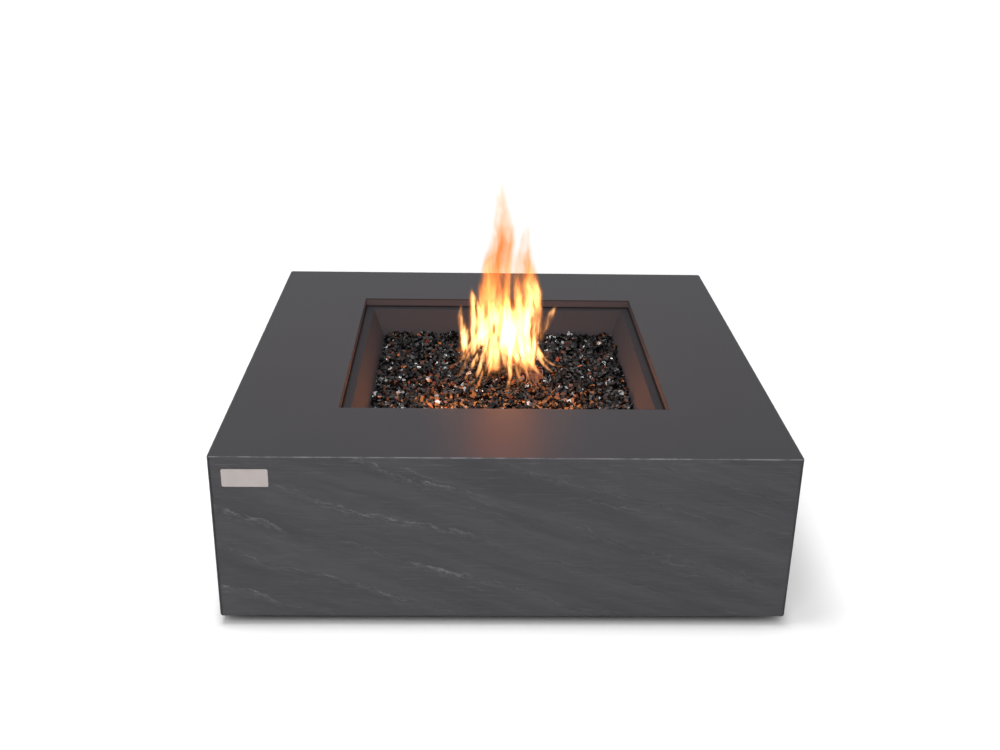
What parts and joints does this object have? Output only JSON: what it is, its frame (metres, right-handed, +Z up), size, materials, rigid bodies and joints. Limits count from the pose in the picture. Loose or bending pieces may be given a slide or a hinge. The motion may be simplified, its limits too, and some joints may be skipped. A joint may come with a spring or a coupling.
{
  "type": "gas fire pit",
  "caption": "Low square concrete gas fire pit with a recessed bed of black fire glass, a ring burner, a rear control panel and levelling feet.",
  "frame": {"origin": "on the floor, under the middle of the body", "axes": "+Z up, -Y towards the front with the small plate, +Y towards the rear with the gas controls"},
  "size_m": [1.067, 1.083, 0.354],
  "materials": {
    "concrete": "cast concrete, satin on top and slate-like on the sides",
    "brushed_plate": "bare, brushed lengthwise",
    "tape": "foam adhesive pad",
    "black_glass": "broken black fire glass, mirror-bright faces",
    "pan_steel": "stainless sheet, heat dulled",
    "shield_steel": "perforated stainless sheet",
    "panel_steel": "brushed stainless",
    "screw_steel": "bright stainless",
    "zinc_steel": "zinc plated",
    "spring_steel": "bright spring wire",
    "brass": "machined",
    "valve_body": "forged and machined",
    "aluminium_tube": "drawn tube",
    "knob_black": "moulded, fine satin",
    "button_black": "moulded",
    "igniter_black": "moulded, threaded",
    "battery_case": "plain shrink sleeve",
    "wire_jacket": "silicone jacket",
    "ceramic": "glazed white",
    "copper_lead": "bare copper lead",
    "foot_black": "hard rubber"
  },
  "bodies": {
    "base": {"air_mixer": "zinc_steel", "badge_plate": "brushed_plate", "badge_tape": "tape", "battery": "battery_case", "bracket_screws": "screw_steel", "burner_nut": "zinc_steel", "burner_pan": "pan_steel", "burner_ring": "pan_steel", "concrete_body": "concrete", "control_panel": "panel_steel", "electrode_insulator": "ceramic", "fire_glass": "black_glass", "foot_insert_bl": "brass", "foot_insert_br": "brass", "foot_insert_fl": "brass", "foot_insert_fr": "brass", "foot_pad_bl": "foot_black", "foot_pad_br": "foot_black", "foot_pad_fl": "foot_black", "foot_pad_fr": "foot_black", "gas_orifice": "brass", "gas_tube": "aluminium_tube", "gas_valve": "valve_body", "igniter_housing": "igniter_black", "igniter_nut": "igniter_black", "igniter_spring": "spring_steel", "ignition_wire": "wire_jacket", "inlet_bracket": "zinc_steel", "inlet_fitting": "brass", "inlet_nut": "brass", "inlet_tube": "aluminium_tube", "magnet_unit": "brass", "pan_screws": "screw_steel", "panel_screws": "screw_steel", "sensor_bracket": "pan_steel", "sensor_shield": "shield_steel", "spark_electrode": "pan_steel", "thermocouple": "pan_steel", "thermocouple_lead": "copper_lead", "tube_nut_burner": "brass", "tube_nut_inlet": "brass", "tube_nut_outlet": "brass", "tube_nut_supply": "brass", "valve_nut": "zinc_steel", "valve_spring": "spring_steel"},
    "push_rod": {"push_rod": "brass"},
    "spindle": {"valve_spindle": "zinc_steel", "control_knob": "knob_black"},
    "plug": {"valve_plug": "brass"},
    "button": {"igniter_button": "button_black"},
    "stud_fl": {"foot_stud_fl": "zinc_steel"},
    "stud_fr": {"foot_stud_fr": "zinc_steel"},
    "stud_br": {"foot_stud_br": "zinc_steel"},
    "stud_bl": {"foot_stud_bl": "zinc_steel"}
  },
  "joints": [
    {"name": "knob_push", "type": "slide", "parent": "base", "child": "push_rod", "axis": [0, -1, 0], "range_m": [0, 0.0035], "stiffness_N_per_m": 900, "springref_m": -0.007, "deforming": ["valve_spring"]},
    {"name": "knob_turn", "type": "hinge", "parent": "push_rod", "child": "spindle", "pos_m": [0.144, 0.5375, 0.18], "axis": [0, 1, 0], "range_deg": [0, 210]},
    {"name": "plug_turn", "type": "hinge", "parent": "base", "child": "plug", "pos_m": [0.144, 0.4975, 0.18], "axis": [0, 1, 0], "range_deg": [0, 210]},
    {"name": "button_push", "type": "slide", "parent": "base", "child": "button", "axis": [0, -1, 0], "range_m": [0, 0.004], "stiffness_N_per_m": 500, "springref_m": -0.006, "deforming": ["igniter_spring"]},
    {"name": "stud_turn_fl", "type": "hinge", "parent": "base", "child": "stud_fl", "pos_m": [-0.4755, -0.4755, 0.03], "axis": [0, 0, 1], "range_deg": [0, 360]},
    {"name": "stud_turn_fr", "type": "hinge", "parent": "base", "child": "stud_fr", "pos_m": [0.4755, -0.4755, 0.03], "axis": [0, 0, 1], "range_deg": [0, 360]},
    {"name": "stud_turn_br", "type": "hinge", "parent": "base", "child": "stud_br", "pos_m": [0.4755, 0.4755, 0.03], "axis": [0, 0, 1], "range_deg": [0, 360]},
    {"name": "stud_turn_bl", "type": "hinge", "parent": "base", "child": "stud_bl", "pos_m": [-0.4755, 0.4755, 0.03], "axis": [0, 0, 1], "range_deg": [0, 360]}
  ],
  "couplings": [
    {"joint": "plug_turn", "follows": "knob_turn", "ratio": 1}
  ]
}
